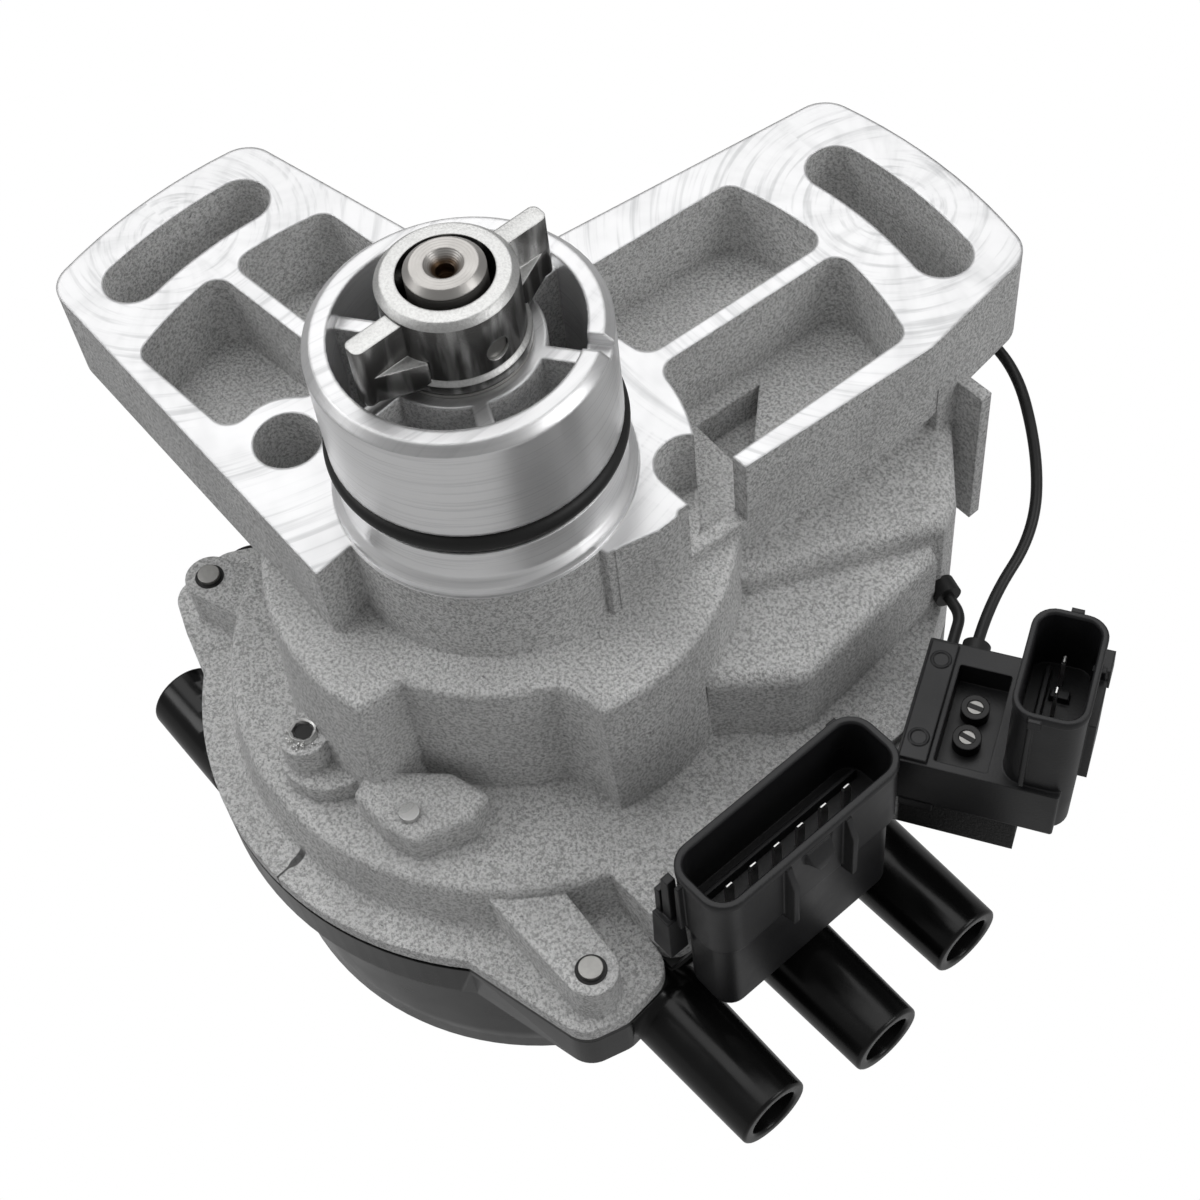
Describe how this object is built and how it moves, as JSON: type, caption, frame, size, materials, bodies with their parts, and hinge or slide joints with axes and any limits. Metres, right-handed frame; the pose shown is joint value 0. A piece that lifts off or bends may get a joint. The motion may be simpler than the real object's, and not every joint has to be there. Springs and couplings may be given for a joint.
{
  "type": "ignition distributor",
  "caption": "Cast aluminium ignition distributor for an engine, with a slotted two-arm flange, offset drive dogs, black cap with lead towers and upright electrical connectors.",
  "frame": {"origin": "where the shaft axis crosses the machined mounting face", "axes": "+Z along the shaft, out of the pilot; +X the way the open row of lead towers points"},
  "size_m": [0.1802, 0.1565, 0.1543],
  "materials": {
    "cast": "sand cast, machined on the faces",
    "rubber": "smooth",
    "bronze": "plain",
    "steel": "turned",
    "bright": "bright plated",
    "sintered": "turned and blasted",
    "brass": "plain",
    "carbon": "matte",
    "black_plastic": "satin",
    "gloss_black": "glossy",
    "lead_cover": "satin"
  },
  "bodies": {
    "housing": {"base_plate": "steel", "base_plate_screws": "steel", "bearing_outer_race": "steel", "bearing_retainer": "steel", "block_screws": "bright", "brush_spring": "steel", "cap_gasket": "rubber", "cap_screws": "steel", "cap_terminals": "brass", "centre_terminal": "brass", "coil_contact": "brass", "coil_screws": "steel", "distributor_cap": "gloss_black", "dust_cover": "black_plastic", "front_bush": "bronze", "housing_casting": "cast", "igniter_module": "black_plastic", "ignition_coil_case": "black_plastic", "ignition_coil_core": "steel", "lead_grommets": "rubber", "locating_pin": "bright", "long_lead": "lead_cover", "pickup_sensor": "black_plastic", "pilot_o_ring": "rubber", "retainer_screws": "steel", "shaft_seal": "rubber", "short_lead": "lead_cover", "six_pin_connector": "black_plastic", "six_pin_terminals": "bright", "three_pin_connector": "black_plastic", "three_pin_terminals": "bright"},
    "shaft": {"drive_shaft": "steel", "coupling_pin": "steel", "thrust_washer": "steel", "bearing_inner_race": "steel", "trigger_wheel": "steel", "rotor": "black_plastic", "rotor_blade": "brass", "rotor_screw": "steel"},
    "coupling": {"drive_coupling": "sintered"},
    "cage": {"bearing_cage": "brass", "bearing_balls": "steel"},
    "brush": {"carbon_brush": "carbon"}
  },
  "joints": [
    {"name": "shaft_spin", "type": "hinge", "parent": "housing", "child": "shaft", "pos_m": [0, 0, 0], "axis": [0, 0, 1], "continuous": true},
    {"name": "cage_spin", "type": "hinge", "parent": "housing", "child": "cage", "pos_m": [0, 0, -0.022], "axis": [0, 0, 1], "continuous": true},
    {"name": "coupling_rock", "type": "hinge", "parent": "shaft", "child": "coupling", "pos_m": [0, 0, 0.0376], "axis": [1, 0, 0], "range_deg": [-1.5, 1.5]},
    {"name": "brush_slide", "type": "slide", "parent": "housing", "child": "brush", "axis": [0, 0, -1], "range_m": [0, 0.003], "stiffness_N_per_m": 120, "springref_m": -0.004, "deforming": ["brush_spring"]}
  ],
  "couplings": [
    {"joint": "cage_spin", "follows": "shaft_spin", "ratio": 0.381}
  ]
}
